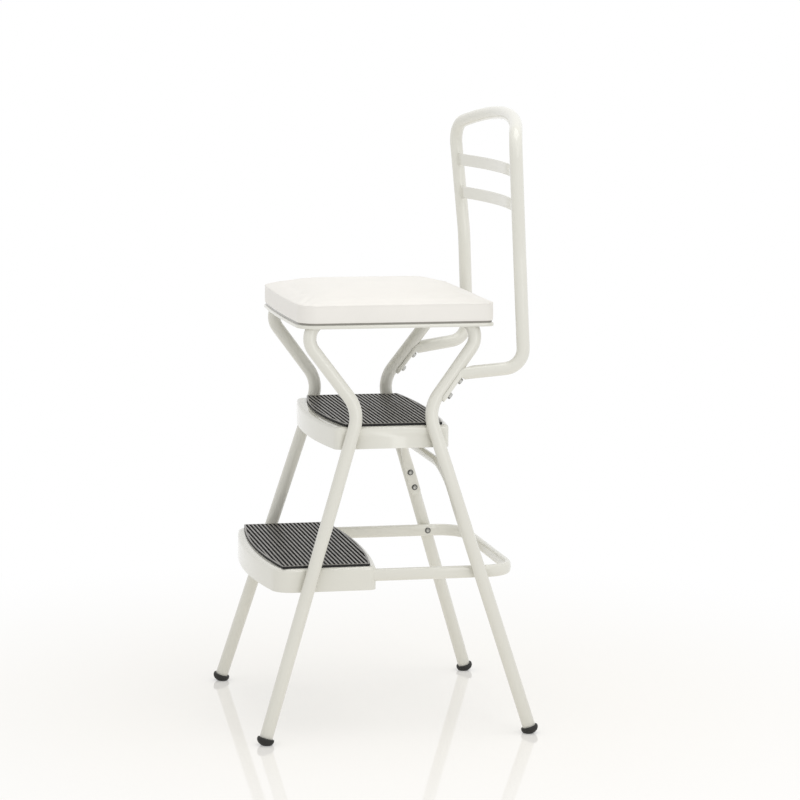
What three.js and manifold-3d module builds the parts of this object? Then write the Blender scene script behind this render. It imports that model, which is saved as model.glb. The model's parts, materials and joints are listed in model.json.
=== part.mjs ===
// A counter-height chair with two fixed steps below a seat that lifts up.
// Millimetres, +Z up. The front is -Y, the sitter's left is +X, and the origin lies on the floor
// midway between the four feet.

import * as THREE from 'three';
import { mergeVertices } from 'three/addons/utils/BufferGeometryUtils.js';
import Module from 'manifold-3d';

const wasm = await Module();
wasm.setup();

// Clearances
const seatGap = 0.3;
const holeGap = 0.15;
const cutOverrun = 2;

// Side frames, one bent tube each
const tubeDiameter = 19.05;
const tubeWall = 1.25;
const footHalfWidth = 209.4;
const sideLean = 0.1;
const footHalfDepth = 197.3;
const waistHalfDepth = 50.5;
const waistHeight = 473.5;
const waistRadius = 50;
const shoulderHalfDepth = 149;
const railRise = 131.5;
const shoulderRadius = 28;

// Rubber tips
const tipRadius = 12.6;
const tipRimRadius = 12;
const tipHeight = 10.8;
const tipDomeHeight = 8.2;
const tipSoleSink = 1;
const tipFloor = 4.5;

// Rivets and bolts
const rivetShankRadius = 2.4;
const rivetHeadRadius = 4.6;
const rivetHeadHeight = 2;
const rivetTail = 2.2;
const boltShankRadius = 3;
const boltHeadFlats = 8;
const boltHeadHeight = 3.2;
const boltWasherRadius = 5.2;
const boltWasherHeight = 1;

// Steps
const sheet = 1.2;
const trayEdgeRadius = 5;
const treadBase = 2;
const treadRib = 1.7;
const ribPitch = 6.2;
const ribWidth = 3.1;
const ribTopWidth = 2.3;
const treadBorder = 3.2;
const treadCorner = 2;
const treadLegMargin = 1.5;

// Each step reaches a given way in front of and behind the middle of a pair of legs.
const lowerStep = {
  top: 248.6, skirt: 34.5,
  frontReach: 51.4, frontBow: 20, frontRadius: 28,
  rearReach: 92.2, rearBow: 13, rearRadius: 12,
  treadSide: 4, treadFront: 7.4, treadFrontBow: 14, treadRear: 8,
};
const upperStep = {
  top: 450, skirt: 32.5, legOverlap: 4.4,
  frontReach: 26.6, frontBow: 15.5, frontRadius: 9,
  rearReach: 24.2, rearBow: 10, rearRadius: 6,
  treadSide: 3.4, treadFront: 15, treadFrontBow: 15.8, treadRear: 9,
};
const trayRivetDrop = 17;

// U-bar behind the lower step
const barHeight = 18;
const barThickness = 10;
const barDrop = 13.6;
const barFront = -70;
const barReach = 53.6;
const barRadius = 42;

// Arch between the rear legs, measured down from its crown
const archDiameter = 12.7;
const archCrown = 388;
const archRadius = 60;
const archFlatWidth = 16.6;
const archFlatThickness = 3.4;
const archEndDrop = 96;
const archRivetDrops = { lower: 84, upper: 60 };

// Backrest
const backRunRise = 61.7;
const backWaistRise = 164.8;
const backRise = 356.7;
const backTopCrown = 25.3;
const backTopBow = 29.4;
const backTopRadius = 33.4;
const backSplay = 17.9;
const backRake = 12.4;
const backWaistRadius = 200;
const backWaistNarrowing = 0.5;
const backWaistRake = 8.4;
const backLegOutset = 19.1;
const backReach = 138.7;
const backLowRadius = 31;
const saddleBendReach = 56.5;
const saddleBendRadius = 17;
const saddleEnd = 22;
const saddleWidth = 20.5;
const saddleThickness = 8.6;
const saddleFace = 3;
const boltStations = { lower: 34.5, upper: 60.5 };
const slatHeight = 18;
const slatThickness = 3;
const slatBow = 18;
const slatDrops = { upper: 78.9, lower: 128.9 };

// Seat
const seatOverhang = 16.1;
const seatFrontInset = 12;
const seatFrontBow = 5;
const seatFrontRadius = 30;
const seatRearInset = 0.5;
const seatRearBow = 0.6;
const seatRearRadius = 13;
const panDrop = 12.5;
const panRim = 5;
const panInset = 2.4;
const bumperHeight = 3.2;
const bumperRadius = 7;
const bumperY = 58;
const boardThickness = 4;
const boardInset = 9;
const coverGap = 1.9;
const cushionRise = 4.4;
const cushionEdgeRadius = 5;
const cushionPinch = 1.1;
const cushionCrown = 20.6;
const crownPower = 4;

// Hinge of the lift-up seat
const hingeRearInset = 11.3;
const hingeDrop = 5;
const hingePinRadius = 2.5;
const hingeHeadRadius = 4.4;
const hingeHeadHeight = 1.5;
const hingeEyeRadius = 5;
const bracketThickness = 2.5;
const bracketLength = 89;
const bracketHalfHeight = 7.5;
const earThickness = 2;
const earFrontReach = 23.8;
const earRearReach = 3.2;

// Facets
const tubeSides = 16;
const boreSides = 8;
const bendSteps = 6;
const roundSides = 12;
const boltSides = 6;
const edgeSteps = 2;
const hollowSteps = 4;
const cornerSteps = 5;
const bowSteps = 5;

const tubeRadius = tubeDiameter / 2;
const up = new THREE.Vector3(0, 0, 1);
const sides = { left: 1, right: -1 };
const ends = { front: -1, rear: 1 };

// Finishes
const finish = (color, roughness, metalness) => ({ color, roughness, metalness });
const finishes = {
  enamel: finish(0xe4e2d8, 0.35, 0),
  vinyl: finish(0xf2f0ea, 0.45, 0),
  rubber: finish(0x1f1d1a, 0.75, 0),
  steel: finish(0xb8b8b4, 0.35, 1),
  board: finish(0x9a7b55, 0.8, 0),
};

const chair = new THREE.Group();

function add(name, geometry, finishName) {
  const mesh = new THREE.Mesh(geometry, new THREE.MeshStandardMaterial(finishes[finishName]));
  mesh.name = name;
  chair.add(mesh);
  return mesh;
}

// Boolean cuts and joins

function solidOf(geometry) {
  const bare = geometry.clone();
  bare.deleteAttribute('normal');
  bare.deleteAttribute('uv');
  const merged = mergeVertices(bare, 1e-4);
  const corners = merged.index.array;
  const triVerts = [];
  for (let i = 0; i < corners.length; i += 3) {
    const [a, b, c] = [corners[i], corners[i + 1], corners[i + 2]];
    if (a !== b && b !== c && c !== a) triVerts.push(a, b, c);
  }
  const mesh = new wasm.Mesh({
    numProp: 3,
    vertProperties: new Float32Array(merged.attributes.position.array),
    triVerts: new Uint32Array(triVerts),
  });
  mesh.merge();
  return new wasm.Manifold(mesh);
}

function geometryOf(solid) {
  const mesh = solid.getMesh();
  const geometry = new THREE.BufferGeometry();
  geometry.setAttribute('position', new THREE.BufferAttribute(mesh.vertProperties, 3));
  geometry.setIndex(new THREE.BufferAttribute(mesh.triVerts, 1));
  return geometry;
}

function cut(geometry, cutters) {
  let solid = solidOf(geometry);
  for (const cutter of cutters) solid = solid.subtract(solidOf(cutter));
  return geometryOf(solid);
}

// Centre lines: straight runs joined by round bends at the inner corners

class Route extends THREE.Curve {
  constructor(points, across) {
    super();
    this.points = points;
    this.across = across;
  }

  getPoint(t, target = new THREE.Vector3()) {
    const place = t * (this.points.length - 1);
    const start = Math.min(Math.floor(place + 1e-9), this.points.length - 2);
    return target.lerpVectors(this.points[start], this.points[start + 1], place - start);
  }

  getPointAt(u, target) {
    return this.getPoint(u, target);
  }

  getTangentAt(u, target = new THREE.Vector3()) {
    const last = this.points.length - 1;
    const index = Math.round(u * last);
    const behind = this.points[Math.max(index - 1, 0)];
    const here = this.points[index];
    const ahead = this.points[Math.min(index + 1, last)];
    const arriving = new THREE.Vector3().subVectors(here, behind).normalize();
    const leaving = new THREE.Vector3().subVectors(ahead, here).normalize();
    return target.addVectors(arriving, leaving).normalize();
  }

  getSpacedPoints() {
    return this.points.map((point) => point.clone());
  }

  // The section's first axis stays as near as it can to the given direction.
  computeFrenetFrames(steps) {
    const tangents = [];
    const normals = [];
    const binormals = [];
    let guide = this.across.clone();
    for (let i = 0; i <= steps; i++) {
      const tangent = this.getTangentAt(i / steps);
      const normal = guide.clone().addScaledVector(tangent, -guide.dot(tangent)).normalize();
      tangents.push(tangent);
      normals.push(normal);
      binormals.push(new THREE.Vector3().crossVectors(tangent, normal));
      guide = normal;
    }
    return { tangents, normals, binormals };
  }
}

function bendAt(before, corner, after, radius, steps) {
  const arriving = corner.clone().sub(before).normalize();
  const leaving = after.clone().sub(corner).normalize();
  const turn = arriving.angleTo(leaving);
  if (radius === 0 || turn === 0) return [corner.clone()];
  const start = corner.clone().addScaledVector(arriving, -radius * Math.tan(turn / 2));
  const inward = leaving.clone().addScaledVector(arriving, -Math.cos(turn)).normalize();
  const points = [];
  for (let i = 0; i <= steps; i++) {
    const angle = (turn * i) / steps;
    points.push(start.clone()
      .addScaledVector(arriving, radius * Math.sin(angle))
      .addScaledVector(inward, radius * (1 - Math.cos(angle))));
  }
  return points;
}

function bentPoints(corners, radii, steps = bendSteps) {
  const inner = radii.flatMap((radius, i) => (
    bendAt(corners[i], corners[i + 1], corners[i + 2], radius, steps)));
  return [corners[0], ...inner, corners[corners.length - 1]];
}

// Sections and sweeps

function circle(radius, count) {
  return Array.from({ length: count }, (_, i) => {
    const angle = (2 * Math.PI * i) / count;
    return new THREE.Vector2(radius * Math.cos(angle), radius * Math.sin(angle));
  });
}

function sweep(section, route, bore = null) {
  const shape = new THREE.Shape(section);
  if (bore) shape.holes.push(new THREE.Path(bore));
  return new THREE.ExtrudeGeometry(shape, {
    steps: route.points.length - 1,
    extrudePath: route,
    bevelEnabled: false,
  });
}

// A closed skin through equal rings of points, with a flat face on the first and last ring.
// Each ring is symmetric, so those faces are strips from each point to its mirror image.
function loft(rings) {
  const count = rings[0].length;
  const position = rings.flat().flatMap((point) => [point.x, point.y, point.z]);
  const index = [];
  for (let r = 0; r < rings.length - 1; r++) {
    for (let i = 0; i < count; i++) {
      const a = r * count + i;
      const b = r * count + ((i + 1) % count);
      index.push(a, b, b + count, a, b + count, a + count);
    }
  }
  const lastStart = (rings.length - 1) * count;
  for (let i = 0; i + 1 < count - i - 1; i++) {
    const strip = [[i, i + 1, count - i - 1]];
    if (i > 0) strip.push([i, count - i - 1, count - i]);
    for (const [a, b, c] of strip) {
      index.push(a, c, b, lastStart + a, lastStart + b, lastStart + c);
    }
  }
  if (count % 2 === 0) {
    const half = count / 2;
    const tip = [half - 1, half, half + 1];
    index.push(tip[0], tip[2], tip[1], ...tip.map((i) => lastStart + i));
  }
  const geometry = new THREE.BufferGeometry();
  geometry.setAttribute('position', new THREE.Float32BufferAttribute(position, 3));
  geometry.setIndex(index);
  return volumeOf(geometry) < 0 ? turnedInsideOut(geometry) : geometry;
}

function volumeOf(geometry) {
  const index = geometry.index.array;
  const corner = (i) => new THREE.Vector3().fromBufferAttribute(geometry.attributes.position, index[i]);
  let sum = 0;
  for (let i = 0; i < index.length; i += 3) {
    sum += corner(i).dot(corner(i + 1).cross(corner(i + 2)));
  }
  return sum / 6;
}

function turnedInsideOut(geometry) {
  const index = geometry.index.array;
  for (let i = 0; i < index.length; i += 3) [index[i + 1], index[i + 2]] = [index[i + 2], index[i + 1]];
  return geometry;
}

// A turned piece stands on its local Y axis; this puts it at a point, along a direction.
function placed(geometry, point, direction) {
  const turn = new THREE.Quaternion().setFromUnitVectors(new THREE.Vector3(0, 1, 0), direction);
  return geometry.clone().applyQuaternion(turn).translate(point.x, point.y, point.z);
}

function place(mesh, point, direction) {
  mesh.position.copy(point);
  mesh.quaternion.setFromUnitVectors(new THREE.Vector3(0, 1, 0), direction);
}

function turned(profile, count = roundSides) {
  return new THREE.LatheGeometry(profile.map(([r, h]) => new THREE.Vector2(r, h)), count);
}

function drill(point, direction, radius, depth) {
  const half = depth + cutOverrun;
  const bit = new THREE.CylinderGeometry(radius, radius, half, roundSides);
  return placed(bit.translate(0, -half / 2 + cutOverrun, 0), point, direction);
}

// Where the legs are

const legSlope = (footHalfDepth - waistHalfDepth) / waistHeight;
const legHalfWidth = (z) => footHalfWidth - sideLean * z;
const legHalfDepth = (z) => footHalfDepth - legSlope * z;
const legFace = (z) => legHalfWidth(z) - tubeRadius - seatGap;
const onSide = (sign, y, z) => new THREE.Vector3(sign * legHalfWidth(z), y, z);
const legUp = (sign, end) => new THREE.Vector3(-sign * sideLean, -end * legSlope, 1).normalize();
const inwardOf = (sign) => new THREE.Vector3(-sign, 0, -sideLean).normalize();
const acrossSide = (sign) => new THREE.Vector3(1, 0, sign * sideLean).normalize();

// Heights and places that follow from the legs
const railHeight = waistHeight + railRise;
const railHalfWidth = legHalfWidth(railHeight);
const barLevel = lowerStep.top - barDrop;
const barRear = legHalfDepth(barLevel) + barReach;
lowerStep.halfWidth = legFace(barLevel) + seatGap + sheet;
lowerStep.front = -legHalfDepth(lowerStep.top) - lowerStep.frontReach;
lowerStep.rear = -legHalfDepth(lowerStep.top) + lowerStep.rearReach;
upperStep.halfWidth = legHalfWidth(upperStep.top) - upperStep.legOverlap;
upperStep.front = -legHalfDepth(upperStep.top) - upperStep.frontReach;
upperStep.rear = legHalfDepth(upperStep.top) + upperStep.rearReach;
const archEnd = archCrown - archEndDrop;
const backRunHeight = waistHeight + backRunRise;
const backTopHeight = backRunHeight + backRise;
const backCornerHeight = backTopHeight - backTopCrown;
const backWaistHeight = backRunHeight + backWaistRise;
const backLowHalfWidth = legHalfWidth(backRunHeight) + backLegOutset;
const backWaistHalfWidth = backLowHalfWidth - backWaistNarrowing;
const backTopHalfWidth = backWaistHalfWidth + backSplay;
const backLowY = waistHalfDepth + backReach;
const backWaistY = backLowY - backWaistRake;
const backCornerY = backWaistY - backRake;
const seatHalfWidth = railHalfWidth + seatOverhang;
const seatFront = seatFrontInset - shoulderHalfDepth;
const seatRear = shoulderHalfDepth - seatRearInset;
const panBottom = railHeight - panDrop;
const panCeiling = railHeight + tubeRadius + 2 * seatGap + bumperHeight;
const panTop = panCeiling + sheet;
const boardTop = panTop + seatGap + boardThickness;
const cushionEdge = boardTop + cushionRise;
const hingeY = seatRear - hingeRearInset;
const hingeHeight = railHeight - hingeDrop;

function sideRoute(sign) {
  const foot = tipFloor + seatGap;
  const corners = [
    onSide(sign, -legHalfDepth(foot), foot),
    onSide(sign, -waistHalfDepth, waistHeight),
    onSide(sign, -shoulderHalfDepth, railHeight),
    onSide(sign, shoulderHalfDepth, railHeight),
    onSide(sign, waistHalfDepth, waistHeight),
    onSide(sign, legHalfDepth(foot), foot),
  ];
  const radii = [waistRadius, shoulderRadius, shoulderRadius, waistRadius];
  return new Route(bentPoints(corners, radii), acrossSide(sign));
}

// Rivets: the point is on the face below the head, the direction is out of the head.

function rivet(name, point, direction, grip) {
  const lift = seatGap / 2;
  const tail = -grip - rivetTail;
  const crownShare = 0.72;
  const profile = [
    [0, tail],
    [rivetShankRadius, tail],
    [rivetShankRadius, lift],
    [rivetHeadRadius, lift],
    [rivetHeadRadius * crownShare, rivetHeadHeight * crownShare + lift],
    [0, rivetHeadHeight + lift],
  ];
  place(add(name, turned(profile), 'steel'), point, direction);
  return drill(point, direction, rivetShankRadius + holeGap, grip + rivetTail + cutOverrun);
}

const legHoles = { left: [], right: [] };

// Outline of a plate that is bowed at both ends: half of it, then its mirror image.
// A leg beside the plate presses a hollow into its side at the given height.
function plateOutline(plate, inset, z, legs = []) {
  const x = plate.halfWidth - inset;
  const front = plate.front + inset;
  const rear = plate.rear - inset;
  const bowPoint = (share, y, bow) => new THREE.Vector3(x * share, y + bow * (1 - share * share), z);
  const half = [];
  for (let i = 0; i < bowSteps; i++) half.push(bowPoint(i / bowSteps, front, -plate.frontBow));
  const frontCorner = new THREE.Vector3(x, front, z);
  const rearCorner = new THREE.Vector3(x, rear, z);
  const least = sheet;
  const last = (bowSteps - 1) / bowSteps;
  half.push(...bendAt(bowPoint(last, front, -plate.frontBow), frontCorner, rearCorner,
    Math.max(plate.frontRadius - inset, least), cornerSteps));
  const cornerEnd = half[half.length - 1].y;
  for (const end of legs) {
    const points = hollow(x, inset, z, end, plate.legMargin ?? 0);
    half.push(...points.map((point) => point.setY(Math.max(point.y, cornerEnd))));
  }
  half.push(...bendAt(frontCorner, rearCorner, bowPoint(last, rear, plate.rearBow),
    Math.max(plate.rearRadius - inset, least), cornerSteps));
  for (let i = bowSteps - 1; i >= 0; i--) half.push(bowPoint(i / bowSteps, rear, plate.rearBow));
  const mirrored = half.slice(1, -1).reverse().map((point) => new THREE.Vector3(-point.x, point.y, z));
  return [...half, ...mirrored];
}

function hollow(x, inset, z, end, margin) {
  const radius = tubeRadius + seatGap + inset + margin;
  const stretch = Math.hypot(1, legSlope);
  const leastTurn = 0.2;
  const offsetShare = Math.min((legHalfWidth(z) - x) / radius, 1);
  const turn = Math.max(Math.acos(offsetShare), leastTurn);
  const stations = Array.from({ length: 2 * hollowSteps + 1 }, (_, i) => turn * (i / hollowSteps - 1));
  return stations.map((angle) => {
    const wall = legHalfWidth(z) - radius * Math.cos(angle);
    const y = end * legHalfDepth(z) + radius * stretch * Math.sin(angle);
    return new THREE.Vector3(Math.min(x, wall), y, z);
  });
}

// Stamped trays: flat top, rounded edge, deep skirt, open below

function tray(step, legs) {
  const bottom = step.top - step.skirt;
  const edge = step.top - trayEdgeRadius;
  const skin = (depth) => {
    const radius = trayEdgeRadius - depth;
    const rings = [bottom, step.top - trayRivetDrop].map((z) => plateOutline(step, depth, z, legs));
    for (let i = 0; i <= edgeSteps; i++) {
      const angle = (Math.PI / 2) * (i / edgeSteps);
      const inset = trayEdgeRadius - radius * Math.cos(angle);
      rings.push(plateOutline(step, inset, edge + radius * Math.sin(angle), legs));
    }
    return rings;
  };
  return loft([...skin(sheet).reverse(), ...skin(0)]);
}

// Ribbed treads: a plain border round grooves that run across the step

function tread(step, legs) {
  const base = step.top + seatGap;
  const top = base + treadBase + treadRib;
  const plate = {
    halfWidth: step.halfWidth - step.treadSide,
    front: step.front + step.treadFront, frontBow: step.treadFrontBow, frontRadius: treadCorner,
    rear: step.rear - step.treadRear, rearBow: step.rearBow, rearRadius: treadCorner,
    legMargin: treadLegMargin,
  };
  const outline = (inset, z) => plateOutline(plate, inset, z, legs);
  const body = solidOf(loft([outline(0, base), outline(0, top)]));
  const field = solidOf(loft([
    outline(treadBorder, base + treadBase),
    outline(treadBorder, top + cutOverrun),
  ]));
  const first = plate.front - plate.frontBow + treadBorder;
  const count = Math.floor((plate.rear + plate.rearBow - treadBorder - first) / ribPitch);
  const grooves = [];
  for (let i = 0; i < count; i++) grooves.push(solidOf(groove(first + i * ribPitch, base, plate)));
  const pattern = wasm.Manifold.union(grooves).intersect(field);
  return geometryOf(body.subtract(pattern));
}

function groove(start, base, plate) {
  const floor = base + treadBase;
  const slope = (ribWidth - ribTopWidth) / 2 / treadRib;
  const profile = new THREE.Shape();
  const openHeight = treadRib + cutOverrun;
  const bottomWidth = ribPitch - ribWidth;
  profile.moveTo(0, 0);
  profile.lineTo(bottomWidth, 0);
  profile.lineTo(bottomWidth + slope * openHeight, openHeight);
  profile.lineTo(-slope * openHeight, openHeight);
  profile.closePath();
  const length = 2 * plate.halfWidth + 2 * cutOverrun;
  const geometry = new THREE.ExtrudeGeometry(profile, { depth: length, bevelEnabled: false });
  geometry.rotateX(Math.PI / 2).rotateZ(Math.PI / 2);
  return geometry.translate(-length / 2, start, floor);
}

// U-bar: a flattened tube bent round behind the lower step

const barFlatTop = barLevel + (barHeight - barThickness) / 2;
const barX = legFace(barFlatTop) - barThickness / 2;

function barRoute() {
  const corners = [[1, barFront], [1, barRear], [-1, barRear], [-1, barFront]]
    .map(([sign, y]) => new THREE.Vector3(sign * barX, y, barLevel));
  return new Route(bentPoints(corners, [barRadius, barRadius]), up);
}

function barSection(gap) {
  const halfHeight = barHeight / 2 + gap;
  const halfThickness = barThickness / 2 + gap;
  const straight = halfHeight - halfThickness;
  const points = [];
  for (const [turnStart, shift] of [[-Math.PI / 2, straight], [Math.PI / 2, -straight]]) {
    for (let i = 0; i <= cornerSteps; i++) {
      const angle = turnStart + (Math.PI * i) / cornerSteps;
      points.push(new THREE.Vector2(
        shift + halfThickness * Math.cos(angle), halfThickness * Math.sin(angle)));
    }
  }
  return points;
}

// A tube whose ends are pressed flat: one ring at each point of its centre line

function pressedTube(route, radius, flats, width, thickness) {
  const steps = route.points.length - 1;
  const frames = route.computeFrenetFrames(steps);
  return route.points.map((centre, i) => {
    const press = flats[i];
    const half = [
      THREE.MathUtils.lerp(radius, (width / 2) * Math.min(press.width, 1), Math.min(press.flat, 1)),
      THREE.MathUtils.lerp(radius, thickness / 2, Math.min(press.flat, 1)),
    ];
    return circle(1, tubeSides).map((point) => centre.clone()
      .addScaledVector(frames.normals[i], half[0] * point.x)
      .addScaledVector(frames.binormals[i], half[1] * point.y));
  });
}

// Arch: it lies in the leaning plane of the rear legs

function archPoint(sign, z, inward = 0) {
  const x = legFace(z) - archFlatThickness / 2 - inward;
  return new THREE.Vector3(sign * x, legHalfDepth(z), z);
}

function arch() {
  const low = archPoint(1, archEnd);
  const corner = archPoint(1, archCrown);
  const middle = new THREE.Vector3(0, legHalfDepth(archCrown), archCrown);
  const bend = bendAt(low, corner, middle, archRadius, bendSteps);
  const tipShare = 0.1;
  const tip = low.clone().lerp(bend[0], tipShare);
  const half = [low, tip, ...bend];
  const mirror = (point) => new THREE.Vector3(-point.x, point.y, point.z);
  const points = [...half, ...half.slice().reverse().map(mirror)];
  const along = new THREE.Vector3(0, legSlope, -1).normalize();
  const outOfPlane = new THREE.Vector3().crossVectors(new THREE.Vector3(1, 0, 0), along).normalize();
  const route = new Route(points, outOfPlane);
  const endShares = [
    { flat: 1, width: 0.6 }, { flat: 1, width: 1 }, { flat: 1, width: 1 }, { flat: 0.8, width: 1 },
  ];
  const round = { flat: 0, width: 1 };
  const flats = points.map((_, i) => endShares[Math.min(i, points.length - 1 - i)] ?? round);
  return loft(pressedTube(route, archDiameter / 2, flats, archFlatWidth, archFlatThickness));
}

// Backrest: half of its centre line, from the middle of the top bar to the saddle, then its mirror

const leanUp = (() => {
  const waist = new THREE.Vector3(0, waistHalfDepth, waistHeight);
  return new THREE.Vector3(0, shoulderHalfDepth, railHeight).sub(waist).normalize();
})();
const leanOut = new THREE.Vector3(0, leanUp.z, -leanUp.y);
const leanOutOn = (sign) => new THREE.Vector3(sign * sideLean * leanUp.y, leanOut.y, leanOut.z).normalize();

function leanPoint(sign, along, out) {
  const point = new THREE.Vector3(0, waistHalfDepth, waistHeight)
    .addScaledVector(leanUp, along).addScaledVector(leanOut, out);
  return onSide(sign, point.y, point.z);
}

const saddleOut = tubeRadius + seatGap + saddleFace - saddleThickness / 2;

function backHalf() {
  const barShares = [0, 0.28, 0.54, 0.76];
  const bar = barShares.map((share) => new THREE.Vector3(
    backTopHalfWidth * share,
    backCornerY + backTopBow * (1 - share * share),
    backTopHeight - backTopCrown * share * share));
  const topCorner = new THREE.Vector3(backTopHalfWidth, backCornerY, backCornerHeight);
  const waistCorner = new THREE.Vector3(backWaistHalfWidth, backWaistY, backWaistHeight);
  const lowCorner = new THREE.Vector3(backLowHalfWidth, backLowY, backRunHeight);
  const alongAtBend = (saddleBendReach - leanOut.y * saddleOut) / leanUp.y;
  const saddleCorner = leanPoint(1, alongAtBend, saddleOut);
  const end = leanPoint(1, saddleEnd, saddleOut);
  const points = [...bar,
    ...bendAt(bar[bar.length - 1], topCorner, waistCorner, backTopRadius, bendSteps),
    ...bendAt(topCorner, waistCorner, lowCorner, backWaistRadius, edgeSteps),
    ...bendAt(waistCorner, lowCorner, saddleCorner, backLowRadius, bendSteps)];
  const fullLengths = [0.16, 1.1];
  const saddle = bendAt(lowCorner, saddleCorner, end, saddleBendRadius, cornerSteps);
  const flats = points.map(() => ({ flat: 0, width: 1 }));
  const beforeBend = saddle[0].clone().lerp(points[points.length - 1], fullLengths[0]);
  points.push(beforeBend, ...saddle);
  flats.push({ flat: 0, width: 1 });
  saddle.forEach((_, i) => flats.push({ flat: (i + 1) / saddle.length, width: 1 }));
  const shoulder = end.clone().lerp(saddle[saddle.length - 1], fullLengths[0]);
  const pressed = end.clone().lerp(saddle[saddle.length - 1], 1 - 2 * fullLengths[0]);
  points.push(pressed, shoulder, end);
  flats.push({ flat: 1, width: 1 }, { flat: 1, width: 1 }, { flat: 1, width: 0.62 });
  return { points, flats };
}

function backrest() {
  const { points, flats } = backHalf();
  const route = new Route(points.reverse(), acrossSide(1));
  const half = pressedTube(route, tubeRadius, flats.reverse(), saddleWidth, saddleThickness).reverse();
  half[0].forEach((point) => { point.x = 0; });
  const mirrored = half.slice(1).reverse()
    .map((ring) => ring.map((point) => new THREE.Vector3(-point.x, point.y, point.z)));
  return loft([...mirrored, ...half]);
}

const uprightShare = (z) => (z - backWaistHeight) / (backCornerHeight - backWaistHeight);
const uprightHalfWidth = (z) => THREE.MathUtils.lerp(backWaistHalfWidth, backTopHalfWidth, uprightShare(z));
const uprightY = (z) => THREE.MathUtils.lerp(backWaistY, backCornerY, uprightShare(z));

function slat(z) {
  const end = uprightHalfWidth(z - slatHeight / 2) - tubeRadius - seatGap;
  const stations = 2 * bowSteps;
  const points = [];
  for (let i = 0; i <= stations; i++) {
    const share = (2 * i) / stations - 1;
    points.push(new THREE.Vector3(end * share, uprightY(z) + slatBow * (1 - share * share), z));
  }
  const face = new THREE.Vector3(0, backCornerY - backWaistY, backCornerHeight - backWaistHeight).normalize();
  const h = slatHeight / 2;
  const t = slatThickness / 2;
  const section = [[-h, -t], [h, -t], [h, t], [-h, t]].map(([x, y]) => new THREE.Vector2(x, y));
  return sweep(section, new Route(points, face));
}

// Seat

const seatPlate = {
  halfWidth: seatHalfWidth,
  front: seatFront, frontBow: seatFrontBow, frontRadius: seatFrontRadius,
  rear: seatRear, rearBow: seatRearBow, rearRadius: seatRearRadius,
};
const seatRing = (inset, z) => plateOutline(seatPlate, inset, z);

function pan() {
  const rimTop = panBottom + panRim;
  const inner = [
    seatRing(panInset + 2 * sheet, panCeiling),
    seatRing(panInset + sheet, panCeiling - sheet),
    seatRing(panInset + sheet, rimTop - sheet),
    seatRing(sheet, rimTop - sheet),
    seatRing(sheet, panBottom),
  ];
  const outer = [
    seatRing(0, panBottom),
    seatRing(0, rimTop - sheet / 2),
    seatRing(sheet / 2, rimTop),
    seatRing(panInset, rimTop),
    seatRing(panInset, panTop - sheet),
    seatRing(panInset + sheet, panTop),
  ];
  return loft([...inner, ...outer]);
}

function board() {
  const bottom = panTop + seatGap;
  return loft([seatRing(boardInset, bottom), seatRing(boardInset, boardTop)]);
}

function cushion() {
  const wrap = panInset - seatGap;
  const bottom = panBottom + panRim + coverGap;
  const ceiling = boardTop + seatGap;
  const wallTop = cushionEdge - cushionEdgeRadius;
  const wallMiddle = (bottom + wallTop) / 2;
  const rounded = cushionEdgeRadius - cushionPinch / 2;
  const rings = [
    seatRing(wrap, ceiling),
    seatRing(wrap, bottom),
    seatRing(cushionPinch, bottom),
    seatRing(0, wallMiddle),
    seatRing(cushionPinch / 2, wallTop),
    seatRing(cushionEdgeRadius - rounded * Math.SQRT1_2, wallTop + cushionEdgeRadius * Math.SQRT1_2),
    seatRing(cushionEdgeRadius, cushionEdge),
  ];
  const edge = seatRing(cushionEdgeRadius, cushionEdge);
  const middleY = (seatFront + seatRear) / 2;
  const crownShares = [0.95, 0.88, 0.76, 0.6, 0.4, 0.16];
  for (const share of crownShares) {
    const rise = cushionCrown * (1 - share ** crownPower);
    rings.push(edge.map((point) => new THREE.Vector3(
      point.x * share, middleY + (point.y - middleY) * share, cushionEdge + rise)));
  }
  return loft(rings);
}

// Plates of the hinge stand across X: an outline in Y and Z, given a thickness

function plateAcross(outline, thickness, xLow) {
  const shape = new THREE.Shape(outline);
  const geometry = new THREE.ExtrudeGeometry(shape, { depth: thickness, bevelEnabled: false });
  geometry.rotateY(Math.PI / 2).rotateX(Math.PI / 2);
  return geometry.translate(xLow, 0, 0);
}

function eyeArc(fromAngle, toAngle) {
  const points = [];
  for (let i = 0; i <= bendSteps; i++) {
    const angle = THREE.MathUtils.lerp(fromAngle, toAngle, i / bendSteps);
    points.push(new THREE.Vector2(
      hingeY + hingeEyeRadius * Math.cos(angle), hingeHeight + hingeEyeRadius * Math.sin(angle)));
  }
  return points;
}

// Build both side frames with all that is fixed to them

for (const [side, sign] of Object.entries(sides)) {
  for (const [endName, end] of Object.entries(ends)) {
    const axis = legUp(sign, end);
    const ground = onSide(sign, end * footHalfDepth, 0);
    const dome = Array.from({ length: cornerSteps + 1 }, (_, i) => {
      const angle = (Math.PI / 2) * (i / cornerSteps);
      return [tipRadius * Math.sin(angle), tipDomeHeight - (tipDomeHeight + tipSoleSink) * Math.cos(angle)];
    });
    const bore = tubeRadius + seatGap;
    const cup = [...dome, [tipRimRadius, tipHeight], [bore, tipHeight], [bore, tipFloor], [0, tipFloor]];
    const below = new THREE.BoxGeometry(4 * tipRadius, 4 * tipRadius, tipHeight)
      .translate(ground.x, ground.y, -tipHeight / 2);
    const tip = placed(turned(cup, tubeSides), ground, axis);
    add(`rubber_tip_${endName}_${side}`, cut(tip, [below]), 'rubber');
  }
}

// Steps

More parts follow.
